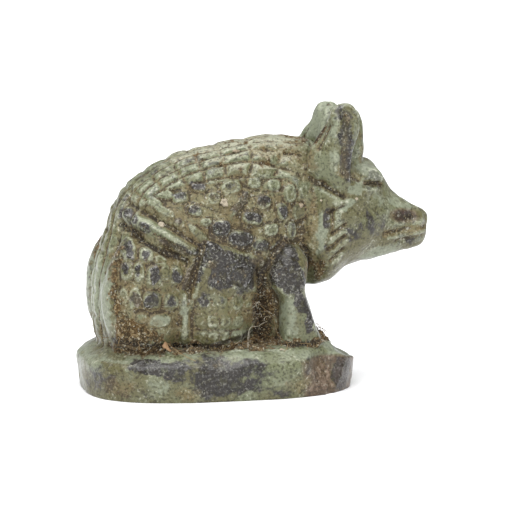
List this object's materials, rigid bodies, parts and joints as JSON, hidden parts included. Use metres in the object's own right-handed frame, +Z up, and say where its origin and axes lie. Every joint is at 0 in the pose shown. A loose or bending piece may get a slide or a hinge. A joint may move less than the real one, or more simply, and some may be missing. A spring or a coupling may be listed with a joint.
{
  "type": "hedgehog seal amulet",
  "caption": "Small stone amulet: a crouching long-eared hedgehog with cut quill rows, carved in one with a near-oval seal plate that it rests on.",
  "frame": {"origin": "middle of the seal plate's outline, on its flat underside", "axes": "+X the way the animal faces, along the plate; +Y to the animal's left; +Z up from the plate"},
  "size_m": [0.0162, 0.0086, 0.013],
  "materials": {
    "glazed_steatite": "worn grey-green glaze over soft stone, with dark patches and brown earth in the cuts"
  },
  "bodies": {
    "root": {"hedgehog_seal_amulet": "glazed_steatite"}
  },
  "joints": []
}
